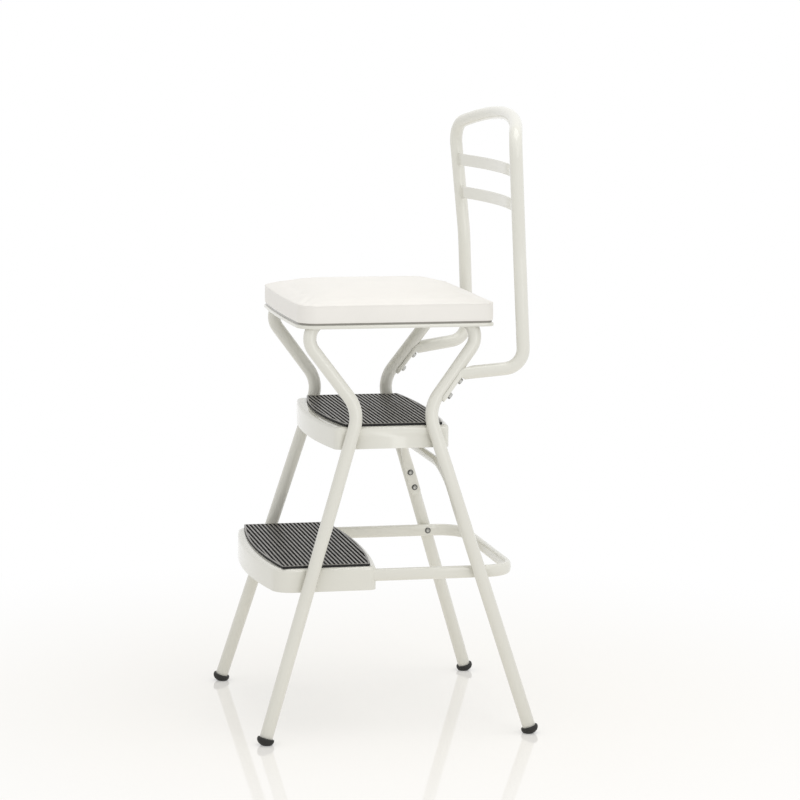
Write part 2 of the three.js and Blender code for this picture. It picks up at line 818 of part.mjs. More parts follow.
const trayHoles = { upper: [], lower: [] };
const trayRivets = [
  { step: 'upper', tray: upperStep, end: 'front' },
  { step: 'upper', tray: upperStep, end: 'rear' },
  { step: 'lower', tray: lowerStep, end: 'front' },
];
for (const [side, sign] of Object.entries(sides)) {
  const inward = inwardOf(sign);
  for (const item of trayRivets) {
    const z = item.tray.top - trayRivetDrop;
    const point = new THREE.Vector3(sign * (legFace(z) - sheet), ends[item.end] * legHalfDepth(z), z);
    const name = `${item.step}_step_rivet_${item.end}_${side}`;
    const hole = rivet(name, point, inward, sheet + seatGap + tubeWall);
    trayHoles[item.step].push(hole);
    legHoles[side].push(hole);
  }
}

const bar = barRoute();
const barEnvelope = sweep(barSection(2 * seatGap), bar);
add('upper_step_tray', cut(tray(upperStep, [-1, 1]), trayHoles.upper), 'enamel');
add('upper_step_tread', tread(upperStep, [-1, 1]), 'rubber');
add('lower_step_tray', cut(tray(lowerStep, [-1]), [...trayHoles.lower, barEnvelope]), 'enamel');
add('lower_step_tread', tread(lowerStep, [-1]), 'rubber');

// Bars across the rear legs

const barHoles = [];
const archHoles = [];
for (const [side, sign] of Object.entries(sides)) {
  const inward = inwardOf(sign);
  const sideways = new THREE.Vector3(-sign, 0, 0);
  const barPoint = new THREE.Vector3(sign * (barX - barThickness / 2), legHalfDepth(barLevel), barLevel);
  const barHole = rivet(`u_bar_rivet_${side}`, barPoint, sideways, barThickness + seatGap + tubeWall);
  barHoles.push(barHole);
  legHoles[side].push(barHole);
  for (const [place, drop] of Object.entries(archRivetDrops)) {
    const point = archPoint(sign, archCrown - drop, archFlatThickness / 2);
    const name = `arch_rivet_${place}_${side}`;
    const hole = rivet(name, point, inward, archFlatThickness + seatGap + tubeWall);
    archHoles.push(hole);
    legHoles[side].push(hole);
  }
}
add('rear_u_bar', cut(sweep(barSection(0), bar), barHoles), 'enamel');
add('rear_arch_brace', cut(arch(), archHoles), 'enamel');

// Backrest, its bolts and slats

const boltHoles = [];
for (const [side, sign] of Object.entries(sides)) {
  const outward = leanOutOn(sign);
  for (const [station, along] of Object.entries(boltStations)) {
    const point = leanPoint(sign, along, tubeRadius + seatGap + saddleFace);
    const depth = saddleFace + seatGap + tubeWall + rivetTail;
    const lift = seatGap / 2;
    const washerTop = lift + boltWasherHeight;
    const shank = turned([
      [0, -depth], [boltShankRadius, -depth], [boltShankRadius, lift],
      [boltWasherRadius, lift], [boltWasherRadius, washerTop], [0, washerTop]]);
    const cornerRadius = boltHeadFlats / 2 / Math.cos(Math.PI / boltSides);
    const head = new THREE.CylinderGeometry(cornerRadius, cornerRadius, boltHeadHeight, boltSides)
      .translate(0, washerTop + boltHeadHeight / 2 - lift, 0);
    const bolt = geometryOf(solidOf(shank).add(solidOf(head)));
    place(add(`backrest_bolt_${station}_${side}`, bolt, 'steel'), point, outward);
    const hole = drill(point, outward, boltShankRadius + holeGap, depth + cutOverrun);
    boltHoles.push(hole);
    legHoles[side].push(hole);
  }
}
const tubeEnvelopes = Object.values(sides)
  .map((sign) => sweep(circle(tubeRadius + seatGap, tubeSides), sideRoute(sign)));
add('backrest_tube', cut(backrest(), [...tubeEnvelopes, ...boltHoles]), 'enamel');
for (const [name, drop] of Object.entries(slatDrops)) {
  add(`backrest_slat_${name}`, slat(backTopHeight - drop), 'enamel');
}

for (const [side, sign] of Object.entries(sides)) {
  const outer = circle(tubeRadius, tubeSides);
  const bore = circle(tubeRadius - tubeWall, boreSides);
  add(`side_frame_${side}`, cut(sweep(outer, sideRoute(sign), bore), legHoles[side]), 'enamel');
}

// Seat pan, board and cushion

add('seat_pan', pan(), 'enamel');
add('seat_board', board(), 'board');
add('seat_cushion', cushion(), 'vinyl');
for (const [side, sign] of Object.entries(sides)) {
  for (const [endName, end] of Object.entries(ends)) {
    const middle = railHeight + tubeRadius + seatGap + bumperHeight / 2;
    const bumper = new THREE.CylinderGeometry(bumperRadius, bumperRadius, bumperHeight, roundSides);
    const mesh = add(`seat_bumper_${endName}_${side}`, bumper, 'rubber');
    place(mesh, new THREE.Vector3(sign * railHalfWidth, end * bumperY, middle), up);
  }
}

// Hinge

for (const [side, sign] of Object.entries(sides)) {
  const bracketOuter = railHalfWidth - tubeRadius - seatGap;
  const earOuter = bracketOuter - bracketThickness - seatGap;
  const span = (outer, thickness) => Math.min(sign * outer, sign * (outer - thickness));
  const bracketFront = hingeY - bracketLength;
  const bracketOutline = [
    new THREE.Vector2(bracketFront, railHeight - bracketHalfHeight),
    ...eyeArc(-Math.PI / 2, Math.PI / 2),
    new THREE.Vector2(shoulderHalfDepth - 2 * shoulderRadius, railHeight + bracketHalfHeight),
    new THREE.Vector2(bracketFront, railHeight + bracketHalfHeight),
  ];
  const earOutline = [
    ...eyeArc(-Math.PI, 0),
    new THREE.Vector2(hingeY + earRearReach, panCeiling - seatGap),
    new THREE.Vector2(hingeY - earFrontReach, panCeiling - seatGap),
  ];
  const centre = new THREE.Vector3(sign * bracketOuter, hingeY, hingeHeight);
  const outward = new THREE.Vector3(sign, 0, 0);
  const reach = bracketThickness + seatGap + earThickness;
  const hole = drill(centre, outward, hingePinRadius + holeGap, reach + cutOverrun);
  const bracket = plateAcross(bracketOutline, bracketThickness, span(bracketOuter, bracketThickness));
  const ear = plateAcross(earOutline, earThickness, span(earOuter, earThickness));
  add(`hinge_bracket_${side}`, cut(bracket, [hole]), 'enamel');
  add(`seat_ear_${side}`, cut(ear, [hole]), 'enamel');
  const lift = seatGap / 2;
  const pin = turned([
    [0, -reach - lift - hingeHeadHeight],
    [hingeHeadRadius, -reach - lift - hingeHeadHeight],
    [hingeHeadRadius, -reach - lift],
    [hingePinRadius, -reach - lift],
    [hingePinRadius, lift],
    [hingeHeadRadius, lift],
    [hingeHeadRadius, lift + hingeHeadHeight],
    [0, lift + hingeHeadHeight],
  ]);
  place(add(`hinge_pin_${side}`, pin, 'steel'), centre, outward);
}

export default chair;
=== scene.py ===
# %% [markdown]
# # A counter chair with two steps
#
# The hard parts of this chair, with their real sizes and joints, already exist as a CAD model, which is
# loaded here as a fixed frame. What is left for Blender is what a faceted solid can't show: round tube,
# soft vinyl, ribbed rubber, baked enamel, and the light of a photographer's white studio.
# Everything is in metres: +Z is up, -Y is the front of the chair, and +X is the sitter's left.

# %% Load the chair
import json
from math import acos, cos, hypot, pi, radians, sin, tan

import bmesh
import bpy
from mathutils import Matrix, Vector


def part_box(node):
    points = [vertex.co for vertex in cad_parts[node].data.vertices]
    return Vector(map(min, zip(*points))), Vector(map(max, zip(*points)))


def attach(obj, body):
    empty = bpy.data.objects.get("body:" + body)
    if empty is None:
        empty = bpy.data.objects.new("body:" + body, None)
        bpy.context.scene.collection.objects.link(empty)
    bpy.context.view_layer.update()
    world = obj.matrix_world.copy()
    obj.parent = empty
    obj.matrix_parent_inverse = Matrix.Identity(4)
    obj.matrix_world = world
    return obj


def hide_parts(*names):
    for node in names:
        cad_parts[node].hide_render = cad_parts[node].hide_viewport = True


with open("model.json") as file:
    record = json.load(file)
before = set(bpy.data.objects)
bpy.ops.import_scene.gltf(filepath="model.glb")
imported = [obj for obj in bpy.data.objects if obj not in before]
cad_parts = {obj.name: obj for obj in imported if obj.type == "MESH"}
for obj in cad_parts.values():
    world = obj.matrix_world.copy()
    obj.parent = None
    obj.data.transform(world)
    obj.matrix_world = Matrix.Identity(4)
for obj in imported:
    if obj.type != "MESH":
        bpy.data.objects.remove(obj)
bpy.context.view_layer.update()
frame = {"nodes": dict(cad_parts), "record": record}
mm = 0.001

# %% [markdown]
# ## The camera
#
# The photograph was taken with a long lens from the chair's left, a little in front and a little above the
# seat. One way to match it is to move a camera by hand until it looks right. Here the four feet and the
# tubes, whose sizes are known, gave the numbers once and for all: a distance, two angles, a slight roll,
# and the point that the lens looks at. A rotation matrix is made from the view's right, up and back.

# %% Camera
scene = bpy.context.scene
camera_distance = 4594 * mm
camera_azimuth = radians(77.95)
camera_elevation = radians(7.87)
camera_roll = radians(0.33)
camera_target = Vector((0, 43.6, 465.1)) * mm
sensor_width, focal_length = 36, 138.4

back = Vector((
    sin(camera_azimuth) * cos(camera_elevation),
    -cos(camera_azimuth) * cos(camera_elevation),
    sin(camera_elevation)))
sideways = Vector((cos(camera_azimuth), sin(camera_azimuth), 0))
raised = back.cross(sideways)
view_right = cos(camera_roll) * sideways + sin(camera_roll) * raised
view_up = cos(camera_roll) * raised - sin(camera_roll) * sideways

camera = bpy.data.objects.new("camera", bpy.data.cameras.new("camera"))
scene.collection.objects.link(camera)
camera.data.sensor_width = sensor_width
camera.data.lens = focal_length
camera.data.clip_end = 60
camera.matrix_world = (
    Matrix.Translation(camera_target + back * camera_distance)
    @ Matrix((view_right, view_up, back)).transposed().to_4x4())
scene.camera = camera
print("camera at", [round(value, 3) for value in camera.matrix_world.translation])

# %% [markdown]
# ## Shader maths as plain expressions
#
# A procedural material is a small program made of nodes. Wiring each node by hand makes long code, so one
# class, Signal, wraps an output socket: adding or multiplying signals adds the Math nodes. Any other node
# comes from one method, which takes the node's type, its settings and what goes into its sockets.

# %% Signals and finishes
class Signal:
    def __init__(self, finish, socket):
        self.finish, self.socket = finish, socket

    def maths(self, operation, first, second):
        return self.finish.node("ShaderNodeMath", {"operation": operation}, {0: first, 1: second})

    def __add__(self, other): return self.maths("ADD", self, other)
    def __radd__(self, other): return self.maths("ADD", other, self)
    def __rsub__(self, other): return self.maths("SUBTRACT", other, self)
    def __mul__(self, other): return self.maths("MULTIPLY", self, other)
    def __rmul__(self, other): return self.maths("MULTIPLY", other, self)


class Finish:
    def __init__(self, name):
        self.material = bpy.data.materials.new(name)
        self.material.use_nodes = True
        self.tree = self.material.node_tree
        self.surface = self.tree.nodes["Principled BSDF"]

    def node(self, kind, settings=None, sockets=None, output=0):
        node = self.tree.nodes.new(kind)
        for key, value in (settings or {}).items():
            if key == "stops":
                for element, (position, shade) in zip(node.color_ramp.elements, value):
                    element.position, element.color = position, (shade, shade, shade, 1)
            else:
                setattr(node, key, value)
        for key, value in (sockets or {}).items():
            self.feed(node.inputs[key], value)
        return Signal(self, node.outputs[output])

    def feed(self, socket, value):
        if isinstance(value, Signal):
            self.tree.links.new(value.socket, socket)
        else:
            socket.default_value = value

    def dress(self, **sockets):
        for key, value in sockets.items():
            self.feed(self.surface.inputs[key.replace("_", " ").title().replace("Ior", "IOR")], value)

    def place(self):
        return self.node("ShaderNodeTexCoord", output="Object")

    def noise(self, scale, detail=2, place=None):
        return self.node("ShaderNodeTexNoise", None, {
            "Vector": place or self.place(), "Scale": scale, "Detail": detail})

    def ramp(self, value, *stops):
        return self.node("ShaderNodeValToRGB", {"stops": stops}, {"Fac": value})

    def attribute(self, name):
        return self.node("ShaderNodeAttribute", {"attribute_name": name}, output=2)

    def blend(self, factor, first, second):
        return self.node("ShaderNodeMix", {"data_type": "RGBA"}, {0: factor, 6: first, 7: second}, 2)

    def bump(self, height, strength, distance):
        return self.node("ShaderNodeBump", None, {
            "Height": height, "Strength": strength, "Distance": distance})


def colour(red, green, blue):
    """A colour picked on the screen, 0 to 255, as the linear values that a shader works in."""
    shares = [channel / 255 for channel in (red, green, blue)]
    return (*[share / 12.92 if share <= 0.04045 else ((share + 0.055) / 1.055) ** 2.4
              for share in shares], 1)


print("a mid grey:", round(colour(128, 128, 128)[0], 3))

# %% [markdown]
# ## A white studio
#
# The photograph is high key: a white room with no visible corner, and a polished pale floor that mirrors
# the legs. More lamps would bleach the chair. Instead the room is plain and soft, and only what the camera
# or a reflection sees of it is pure white: the Light Path node tells such rays from those that light things.
# The floor fades into that white with distance, so no horizon shows.

# %% World
world = bpy.data.worlds.new("studio")
scene.world = world
world.use_nodes = True
sky = world.node_tree
room = sky.nodes["Background"]
room.inputs["Color"].default_value = (1, 1, 1, 1)
room.inputs["Strength"].default_value = 0.7
seen = sky.nodes.new("ShaderNodeBackground")
seen.inputs["Color"].default_value = (1, 1, 1, 1)
rays = sky.nodes.new("ShaderNodeLightPath")
sees_white = rays.outputs["Is Camera Ray"]
for ray in ("Is Glossy Ray", "Is Transmission Ray"):
    either = sky.nodes.new("ShaderNodeMath")
    either.operation = "MAXIMUM"
    sky.links.new(sees_white, either.inputs[0])
    sky.links.new(rays.outputs[ray], either.inputs[1])
    sees_white = either.outputs[0]
choice = sky.nodes.new("ShaderNodeMixShader")
sky.links.new(sees_white, choice.inputs[0])
sky.links.new(room.outputs[0], choice.inputs[1])
sky.links.new(seen.outputs[0], choice.inputs[2])
sky.links.new(choice.outputs[0], sky.nodes["World Output"].inputs["Surface"])
print("world of", len(sky.nodes), "nodes")

# %% [markdown]
# The floor is a polished plane. Its own shader is mixed with a plain white glow, and the share of the glow
# grows with the distance from the chair. Two large area lamps, invisible themselves, give the tubes a soft
# light side and a soft dark one.

# %% Floor and lamps
floor_mesh = bpy.data.meshes.new("floor")
shape = bmesh.new()
bmesh.ops.create_grid(shape, x_segments=1, y_segments=1, size=9)
shape.to_mesh(floor_mesh)
shape.free()
floor = bpy.data.objects.new("floor", floor_mesh)
scene.collection.objects.link(floor)

polished = Finish("polished_floor")
distance = polished.node("ShaderNodeVectorMath", {"operation": "LENGTH"}, {0: polished.place()}, 1)
fade = polished.node("ShaderNodeMapRange", {"interpolation_type": "SMOOTHSTEP"}, {
    "Value": distance, "From Min": 0.3, "From Max": 1.2, "To Min": 0.3, "To Max": 1.0})
polished.dress(base_color=(0.99, 0.955, 0.89, 1), roughness=0.05, ior=1.9)
glow = polished.tree.nodes.new("ShaderNodeEmission")
fading = polished.tree.nodes.new("ShaderNodeMixShader")
polished.feed(fading.inputs[0], fade)
polished.tree.links.new(polished.surface.outputs[0], fading.inputs[1])
polished.tree.links.new(glow.outputs[0], fading.inputs[2])
polished.tree.links.new(fading.outputs[0], polished.tree.nodes["Material Output"].inputs["Surface"])
floor_mesh.materials.append(polished.material)


def facing(place, direction):
    """The matrix that moves a thing to a place and turns its Z axis along a direction."""
    return Matrix.Translation(place) @ direction.to_track_quat("Z", "Y").to_matrix().to_4x4()


def softbox(name, place, aim, width, height, watts):
    lamp = bpy.data.objects.new(name, bpy.data.lights.new(name, "AREA"))
    scene.collection.objects.link(lamp)
    lamp.data.shape = "RECTANGLE"
    lamp.data.size, lamp.data.size_y, lamp.data.energy = width, height, watts
    lamp.matrix_world = facing(place, Vector(place) - Vector(aim))
    lamp.visible_camera = False


seat_middle = (0, 0, 0.6)
softbox("overhead_softbox", (0.3, 0.3, 2.7), seat_middle, width=1.8, height=1.8, watts=20)
softbox("side_softbox", (2.7, 0.9, 1.3), seat_middle, width=0.9, height=1.8, watts=8)
scene.view_settings.view_transform = "Standard"
print("studio ready")

# %% [markdown]
# ## Finishes
#
# The steel is sprayed with warm white enamel and baked. Such a skin is never quite flat: it has the faint
# ripple called orange peel, and its shine varies a little. Both come from noise on the object's own
# coordinates, so they stay put when the chair is seen from elsewhere. The shadow in the seam under the
# cushion is painted shade: an attribute on the seat pan's mesh marks that seam, other pieces have none.

# %% Enamel
enamel = Finish("baked_enamel")
ripple = enamel.noise(scale=420)
clouds = enamel.noise(scale=7, detail=3)
unshaded_enamel = enamel.blend(clouds, colour(222, 220, 210), colour(230, 229, 220))
enamel.dress(
    # The marked seam wall turns darker: painted shade for the shadow gap under the cushion.
    base_color=enamel.blend(enamel.attribute("seam"), unshaded_enamel, colour(146, 143, 135)),
    roughness=0.08 + 0.07 * clouds,
    ior=1.55,
    normal=enamel.bump(ripple, strength=0.12, distance=0.4 * mm))
print("enamel:", len(enamel.tree.nodes), "nodes")

# %% [markdown]
# Upholstery vinyl is a soft plastic skin with an embossed leather grain: small cells with creases between
# them. A Voronoi texture gives the cells, a finer noise breaks them up, and both only feed the bump, since
# the real grain has no colour of its own. A slow drift varies its colour and its shine.

# %% Vinyl
vinyl = Finish("white_vinyl")
cells = vinyl.node("ShaderNodeTexVoronoi", {"feature": "DISTANCE_TO_EDGE"}, {
    "Vector": vinyl.place(), "Scale": 900})
creases = vinyl.ramp(cells, (0, 0), (0.3, 1))
pores = vinyl.noise(scale=2400)
drift = vinyl.noise(scale=14, detail=3)
vinyl.dress(
    base_color=vinyl.blend(drift, colour(234, 231, 225), colour(242, 239, 233)),
    roughness=0.4 + 0.12 * drift,
    ior=1.46,
    normal=vinyl.bump(0.75 * creases + 0.25 * pores, strength=0.25, distance=0.12 * mm))
print("vinyl:", len(vinyl.tree.nodes), "nodes")

# %% [markdown]
# The treads are black rubber, moulded dull and polished by shoes on the tops of the ribs. Height decides
# which is which: the mask looks at Z, in the object's own coordinates, just below the top of each tread.
# The light grey of the rib tops is partly wear and partly a painted sheen for the light they catch.

# %% Tread rubber
def tread_finish(name, top):
    rubber = Finish(name)
    height = rubber.node("ShaderNodeSeparateXYZ", None, {"Vector": rubber.place()}, 2)
    wear_and_sheen = rubber.node("ShaderNodeMapRange", None, {
        "Value": height, "From Min": top - 0.6 * mm, "From Max": top - 0.3 * mm})
    dust = rubber.noise(scale=60, detail=4)
    grain = rubber.noise(scale=1500)
    rubber.dress(
        # Rib tops turn light grey: partly wear, partly a painted sheen.
        base_color=rubber.blend(
            wear_and_sheen * (0.5 + dust * 0.5), colour(12, 11, 10), colour(138, 134, 127)),
        roughness=0.9 - 0.62 * wear_and_sheen * (0.8 + 0.2 * dust),
        ior=1.6,
        normal=rubber.bump(grain, strength=0.1, distance=0.1 * mm))
    return rubber


treads = {
    step: tread_finish(f"{step}_tread_rubber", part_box(f"{step}_step_tread")[1].z)
    for step in ("upper", "lower")}
print("tread finishes:", list(treads))

# %% [markdown]
# Tips and bumpers are the same black rubber with no wear pattern, only a fine speckled skin.
# Rivets and bolts are zinc plated, so they are metal, and the plating is slightly cloudy. On a rivet the
# rolled rim is painted darker than the bright dimple, as painted shade for the dark outline of the head.
# The mesh says which is which, in an attribute.
# The board under the padding is bare hardboard, with its fibres drawn out along one axis.

# %% Moulded rubber, plated steel, hardboard
tip_rubber = Finish("moulded_rubber")
speckle = tip_rubber.noise(scale=1100, detail=3)
scuffs = tip_rubber.noise(scale=45, detail=4)
tip_rubber.dress(
    base_color=tip_rubber.blend(scuffs, colour(20, 20, 18), colour(34, 33, 30)),
    roughness=0.5 + 0.2 * scuffs,
    normal=tip_rubber.bump(speckle, strength=0.25, distance=0.1 * mm))

plated = Finish("zinc_plate")
spangle = plated.noise(scale=260, detail=4)
# A rivet's rim turns dark: painted shade for the outline of its head.
rim_shade = 0.8 * plated.attribute("rim") + 0.2 * spangle
plated.dress(
    base_color=plated.blend(rim_shade, colour(196, 196, 192), colour(84, 84, 81)),
    metallic=1.0,
    roughness=0.24 + 0.16 * spangle,
    normal=plated.bump(spangle, strength=0.1, distance=0.05 * mm))

hardboard = Finish("hardboard")
drawn_out = hardboard.node("ShaderNodeMapping", None, {"Vector": hardboard.place(), "Scale": (1, 8, 8)})
fibres = hardboard.noise(scale=160, detail=5, place=drawn_out)
hardboard.dress(
    base_color=hardboard.blend(fibres, colour(110, 82, 54), colour(150, 118, 82)),
    roughness=0.75 + 0.1 * fibres,
    normal=hardboard.bump(fibres, strength=0.4, distance=0.2 * mm))
print("materials:", len(bpy.data.materials))

# %% [markdown]
# Each CAD node has a material slot in the record, and each slot gets its finish here. Pieces that are
# modelled below replace some of these nodes and take the same finishes.

# %% Dress the CAD nodes
finishes = {
    "enamel": enamel, "vinyl": vinyl, "board": hardboard, "tip_rubber": tip_rubber, "plated_steel": plated}
slots = {entry["node"]: entry["material_slot"] for entry in frame["record"]["subparts"]}
for name, cad_object in frame["nodes"].items():
    step = name.split("_")[0]
    finish = treads[step] if slots[name] == "tread_rubber" else finishes[slots[name]]
    cad_object.data.materials.clear()
    cad_object.data.materials.append(finish.material)
print("dressed", len(slots), "nodes")

# %% [markdown]
# ## Building smooth pieces
#
# Nearly all of this chair is drawn, bent or pressed from one cross-section, so nearly all of it can be made
# the same way: start with a ring of a few vertices, extrude its edges, set the new ring on the next
# section, and go on. One function draws the rings, one caps an end, and one turns the finished bmesh into
# an object that stands in for its CAD node, in the same body and with the finish that it is given.

# %% Rings, caps and objects
body_of = {node: body for body, nodes in frame["record"]["behaviour"]["bodies"].items() for node in nodes}
doubles = 0.001 * mm


def pairs(ring):
    return list(zip(ring, ring[1:] + ring[:1]))


def draw(shape, ring, points):
    """Set a first ring on the points, or extrude the ring before it and move the copy there."""
    if ring is None:
        ring = [shape.verts.new(point) for point in points]
        for pair in pairs(ring):
            shape.edges.new(pair)
        return ring
    edges = [shape.edges.get(pair) for pair in pairs(ring)]
    made = bmesh.ops.extrude_edge_only(shape, edges=edges)["geom"]
    fresh = {item for item in made if isinstance(item, bmesh.types.BMVert)}
    copies = [next(edge.other_vert(old) for edge in old.link_edges if edge.other_vert(old) in fresh)
              for old in ring]
    for vertex, point in zip(copies, points):
        vertex.co = point
    return copies


def cap(shape, ring, inset=0.0):
    """Close a ring with a flat face and, where a size is given, round its edge."""
    face = bmesh.ops.contextual_create(
        shape, geom=[shape.edges.get(pair) for pair in pairs(ring)])["faces"][0]
    if inset:
        bmesh.ops.bevel(
            shape, geom=list(face.edges), offset=inset, segments=2, profile=0.5,
            affect="EDGES", material=-1)


def build(node, shape, finish, sharp=40):
    """Make the object that replaces a CAD node, smooth but for edges sharper than an angle in degrees."""
    bmesh.ops.remove_doubles(shape, verts=shape.verts, dist=doubles)
    bmesh.ops.recalc_face_normals(shape, faces=shape.faces)
    mesh = bpy.data.meshes.new(f"smooth_{node}")
    shape.to_mesh(mesh)
    shape.free()
    mesh.shade_smooth()
    mesh.set_sharp_from_angle(angle=radians(sharp))
    mesh.materials.append(finish.material)
    piece = bpy.data.objects.new(f"smooth_{node}", mesh)
    scene.collection.objects.link(piece)
    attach(piece, body_of[node])
    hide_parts(node)
    return piece


print("bodies:", sorted(set(body_of.values())))

# %% [markdown]
# ## Bent tube
#
# A tube bender leaves straight runs joined by arcs. So a centre line is given by its inner corners and one
# bend radius for each of them, which is also how a workshop drawing gives it. The section is then carried
# along that line. It must not twist on the way, so at each station its first axis is the last one, made
# square to the new direction. Where an end is pressed flat, the section's two half widths change and its
# sides grow straighter, which one exponent does: 1 is an ellipse, and less is nearer to a rectangle.

# %% Paths and sections
fine_section = 36


def bend(before, corner, after, radius, steps=12):
    arriving, leaving = (corner - before).normalized(), (after - corner).normalized()
    turn = arriving.angle(leaving)
    start = corner - arriving * radius * tan(turn / 2)
    inward = (leaving - arriving * cos(turn)).normalized()
    return [
        start + arriving * radius * sin(turn * i / steps) + inward * radius * (1 - cos(turn * i / steps))
        for i in range(steps + 1)]


def bent(corners, radii):
    path = [corners[0]]
    for before, corner, after, radius in zip(corners, corners[1:], corners[2:], radii):
        path += bend(before, corner, after, radius)
    return path + [corners[-1]]


def softened(value, power):
    return abs(value) ** power * (1 if value > 0 else -1)


def sections(path, across, half_sizes, count=28):
    """Rings of points along a path; half_sizes gives two half widths and the exponent at a station."""
    guide, rings = across, []
    for i, centre in enumerate(path):
        arriving = (centre - path[max(i - 1, 0)]).normalized()
        leaving = (path[min(i + 1, len(path) - 1)] - centre).normalized()
        tangent = (arriving + leaving).normalized()
        guide = (guide - tangent * guide.dot(tangent)).normalized()
        other = tangent.cross(guide)
        wide, thick, power = half_sizes(i)
        rings.append([
            centre + guide * wide * softened(cos(angle), power) + other * thick * softened(sin(angle), power)
            for angle in (2 * pi * k / count for k in range(count))])
    return rings


def sweep(rings, edge=0.5 * mm):
    """Draw a shape through rings of points and cap both ends, with a rounded edge."""
    shape, ring = bmesh.new(), None
    for points in rings:
        fresh = draw(shape, ring, points)
        first = fresh if ring is None else first
        ring = fresh
    for end in (first, ring):
        cap(shape, end, edge)
    return shape


quarter = bend(Vector((0, 0, 0)), Vector((1, 0, 0)), Vector((1, 1, 0)), 0.5)
print("a quarter bend ends at", [round(value, 3) for value in quarter[-1]])

# %% [markdown]
# ## Side frames
#
# Each side is a single tube: foot, leg, waist, shoulder, rail, and back down again. The legs lean inwards
# by a tenth and spread front to rear, and everything else on the chair is placed from them, so two small
# functions give the half width and half depth of a leg at any height.

# %% Side frames
tube_radius, tube_end = 9.525 * mm, 4.8 * mm
foot_width, foot_depth, lean = 209.4 * mm, 197.3 * mm, 0.1
waist_depth, waist_height, waist_radius = 50.5 * mm, 473.5 * mm, 50 * mm
shoulder_depth, rail_height, shoulder_radius = 149 * mm, 605 * mm, 28 * mm
spread = (foot_depth - waist_depth) / waist_height
sides = {"left": 1, "right": -1}
ends = {"front": -1, "rear": 1}
gap = 0.3 * mm


def leg_width(z): return foot_width - lean * z
def leg_depth(z): return foot_depth - spread * z
def on_side(sign, y, z): return Vector((sign * leg_width(z), y, z))
def across_side(sign): return Vector((1, 0, sign * lean)).normalized()


for side, sign in sides.items():
    corners = [
        on_side(sign, -leg_depth(tube_end), tube_end), on_side(sign, -waist_depth, waist_height),
        on_side(sign, -shoulder_depth, rail_height), on_side(sign, shoulder_depth, rail_height),
        on_side(sign, waist_depth, waist_height), on_side(sign, leg_depth(tube_end), tube_end)]
    path = bent(corners, [waist_radius, shoulder_radius, shoulder_radius, waist_radius])
    rings = sections(path, across_side(sign), lambda i: (tube_radius, tube_radius, 1), fine_section)
    build(f"side_frame_{side}", sweep(rings), enamel)
print("side frames:", len(rings), "sections each")

# %% [markdown]
# ## Steps
#
# A step is a sheet steel tray, pressed over a die: flat top, rounded edge, deep skirt. Seen from above its
# front and rear are bowed, its corners round, and its sides hollow where the legs pass. Half of that outline
# is worked out and the other half mirrored. The hollow is an arc about the leg's centre, which moves with
# height, so each ring of the skirt asks for the outline at its own height. The points of a bow are spaced
# only as far as the arc of the corner, since an outline that doubles back on itself leaves stray faces.

# %% Outline of a plate
sharpest_corner, least_turn = 1.2 * mm, 0.2
bow_steps, corner_steps, hollow_steps = 13, 10, 8
near_corner = 13 / 14


def outline(plate, inset, z, margin=0.0):
    """Points round a bowed plate, drawn in by an inset, with hollows for the legs at that height."""
    x, front, rear = plate["half"] - inset, plate["front"] + inset, plate["rear"] - inset
    front_bow, rear_bow = -plate["front_bow"], plate["rear_bow"]
    front_corner, rear_corner = Vector((x, front, z)), Vector((x, rear, z))

    def bowed(share, y, bow):
        return Vector((x * share, y + bow * (1 - share * share), z))

    def spaced(last, y, bow):
        return [bowed(last.x / x * i / bow_steps, y, bow) for i in range(bow_steps)]

    corner = bend(bowed(near_corner, front, front_bow), front_corner, rear_corner,
                  max(plate["front_radius"] - inset, sharpest_corner), corner_steps)
    half = spaced(corner[0], front, front_bow) + corner
    radius = tube_radius + gap + inset + margin
    for end in plate["legs"]:
        turn = max(acos(min((leg_width(z) - x) / radius, 1)), least_turn)
        for i in range(2 * hollow_steps + 1):
            angle = turn * (i / hollow_steps - 1)
            half.append(Vector((
                min(x, leg_width(z) - radius * cos(angle)),
                max(end * leg_depth(z) + radius * hypot(1, spread) * sin(angle), corner[-1].y), z)))
    corner = bend(front_corner, rear_corner, bowed(near_corner, rear, rear_bow),
                  max(plate["rear_radius"] - inset, sharpest_corner), corner_steps)
    half += corner + spaced(corner[-1], rear, rear_bow)[::-1]
    return half + [Vector((-point.x, point.y, z)) for point in reversed(half[1:-1])]


def stack(shape, plate, section, margin=0.0):
    """Draw a plate's outline at each inset and level of a section, and give the rings."""
    rings = []
    for inset, z in section:
        rings.append(draw(shape, rings[-1] if rings else None, outline(plate, inset, z, margin)))
    return rings


lower_level, upper_level = 248.6 * mm, 450 * mm
bar_level = lower_level - 13.6 * mm
lower = {
    "top": lower_level, "skirt": 34.5 * mm, "legs": [-1],
    "half": leg_width(bar_level) - tube_radius + 1.2 * mm,
    "front": -leg_depth(lower_level) - 51.4 * mm, "front_bow": 20 * mm, "front_radius": 28 * mm,
    "rear": -leg_depth(lower_level) + 92.2 * mm, "rear_bow": 13 * mm, "rear_radius": 12 * mm}
upper = {
    "top": upper_level, "skirt": 32.5 * mm, "legs": [-1, 1],
    "half": leg_width(upper_level) - 4.4 * mm,
    "front": -leg_depth(upper_level) - 26.6 * mm, "front_bow": 15.5 * mm, "front_radius": 9 * mm,
    "rear": leg_depth(upper_level) + 24.2 * mm, "rear_bow": 10 * mm, "rear_radius": 6 * mm}
print("outline of", len(outline(upper, 0, upper_level)), "points")

# %% [markdown]
# The skirt is drawn up from its lower edge in a few rings, the rounded edge takes nine more, and the top
# is one flat face with a narrow ring round it, which keeps its shading flat. Solidify then gives the skin
# the thickness of the sheet, inwards, as a press would.

# %% Trays
sheet, fillet, fillet_steps = 1.2 * mm, 5 * mm, 8
rivet_drop = 17 * mm


